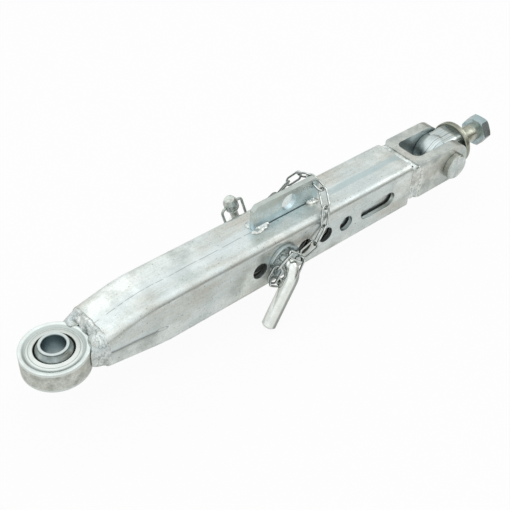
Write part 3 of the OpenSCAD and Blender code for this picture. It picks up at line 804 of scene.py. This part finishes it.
weld_skin("plate_weld_left_bead", "plate_weld_left", "outer_arm", LEFT_LUMPS, TACK_VOXEL_MM, smooth=8,
          rough_mm=0.3, rough_size_mm=3)
weld_skin("plate_weld_right_bead", "plate_weld_right", "outer_arm", RIGHT_LUMPS, TACK_VOXEL_MM, smooth=6,
          rough_mm=0.3, rough_size_mm=3)


# %% [markdown]
# ## Light
# A pale studio: a wide soft light from above, a weak one from the clevis end, and a darker band low
# in the surroundings on the clevis's side, because plated steel takes its shape from what it
# mirrors. The camera sees plain white instead of these surroundings.

# %% World
STUDIO_SHADES = [(0.46, "#5f5b55"), (0.6, "#77746d"), (0.72, "#dadad4"), (0.85, "#f3f7f6")]
BACKDROP_SHADE = "#eff3f2"
AWAY_FROM_CLEVIS = (-1.0, 0.35, 0.0)
STUDIO_STRENGTH = 1.09
world = bpy.data.worlds.new("studio")
bpy.context.scene.world = world
world.use_nodes = True
sky = world.node_tree
sky.nodes.clear()
direction = add(sky, "TexCoord", out="Generated")
upward = add(sky, "SeparateXYZ", None, direction, out="Z")
studio = add(sky, "ValToRGB", STUDIO_SHADES, add(sky, "MapRange", "LINEAR", upward, -1.0, 1.0, 0.0, 1.0))
backdrop = add(sky, "VectorMath", "DOT_PRODUCT", direction, AWAY_FROM_CLEVIS, out="Value")
behind = add(sky, "MapRange", "SMOOTHSTEP", backdrop, -0.6, -0.2, 0.0, 1.0)
studio = lay(sky, behind, studio, BACKDROP_SHADE)
lit = add(sky, "Background", None, Color=studio, Strength=STUDIO_STRENGTH)
white = add(sky, "Background", None, Color=(1, 1, 1, 1), Strength=1.0)
seen = add(sky, "LightPath", out="Is Camera Ray")
add(sky, "OutputWorld", None, add(sky, "MixShader", None, seen, lit, white), out=None)
print("world nodes:", len(sky.nodes))

# %% [markdown]
# ## Lamps
# Two soft boxes. The large one overhead lights every top face evenly, and the small one near the
# clevis gives the faces at that end a highlight. An area lamp was chosen over a sun, because its
# width is what makes soft shadows and broad reflections on steel.

# %% Lamps
MIDDLE = Vector((0.28, 0, 0))


def soft_box(name, place, aim, size, power):
    """A square area lamp at place that shines at aim."""
    lamp = bpy.data.lights.new(name, "AREA")
    lamp.shape = "SQUARE"
    lamp.size = size
    lamp.energy = power
    thing = bpy.data.objects.new(name, lamp)
    turn = (Vector(place) - Vector(aim)).to_track_quat("Z", "Y").to_matrix().to_4x4()
    thing.matrix_world = Matrix.Translation(place) @ turn
    bpy.context.scene.collection.objects.link(thing)


soft_box("top_box", (0.1, 0.2, 1.3), MIDDLE, size=1.8, power=3.2)
soft_box("clevis_side_box", (1.2, -0.3, 0.6), MIDDLE, size=0.5, power=1)
print("lamps:", len(bpy.data.lights))


# %% [markdown]
# ## Floor
# Pale paper under the object. The camera sees it as almost white and the shadow still shows a
# little. Mirror rays see a share of the white too, so that the steel shows the same pale ground.

# %% Floor
# Paper fibres are finer than this too.
PAPER_GRAIN_MM = 2.0
WHITE_SHARE = 0.93
MIRRORED = 0.25
FLOOR_SIZE, FLOOR_GAP = 4, 0.001


def paper_floor():
    """Pale paper that the camera and mirror rays see as white, apart from the shadow."""
    material = bpy.data.materials.new("white_paper_floor")
    material.use_nodes = True
    tree = material.node_tree
    paper = tree.nodes["Principled BSDF"]
    paper.inputs["Roughness"].default_value = 0.9
    grain = mottle(tree, add(tree, "TexCoord", out="Object"), PAPER_GRAIN_MM)
    shade = add(tree, "ValToRGB", [(0.3, "#dcdcda"), (0.7, "#e2e2e0")], grain)
    tree.links.new(shade, paper.inputs["Base Color"])
    glow = add(tree, "Emission", None, Color=(1, 1, 1, 1), Strength=1.0)
    rays = add(tree, "LightPath", out=None).outputs
    mirror = add(tree, "Math", "MAXIMUM", rays["Is Glossy Ray"], rays["Is Transmission Ray"])
    seen_white = add(tree, "Math", "MAXIMUM", rays["Is Camera Ray"], overlap(tree, mirror, MIRRORED))
    mixed = add(tree, "MixShader", None, overlap(tree, seen_white, WHITE_SHARE), paper.outputs[0], glow)
    tree.links.new(mixed, tree.nodes["Material Output"].inputs["Surface"])
    return material


floor_mesh = bmesh.new()
bmesh.ops.create_grid(floor_mesh, x_segments=1, y_segments=1, size=FLOOR_SIZE)
bmesh.ops.translate(floor_mesh, verts=floor_mesh.verts, vec=(MIDDLE.x, 0, cad_box[0][2] - FLOOR_GAP))
floor_data = bpy.data.meshes.new("floor")
floor_mesh.to_mesh(floor_data)
floor_mesh.free()
floor_data.materials.append(paper_floor())
floor = bpy.data.objects.new("floor", floor_data)
bpy.context.scene.collection.objects.link(floor)
print("materials:", len(bpy.data.materials))

# %% [markdown]
# ## Colours as they are
# The plain Standard view keeps the zinc's pale greys as they are, where a filmic one would dull
# them.

bpy.context.scene.view_settings.view_transform = "Standard"
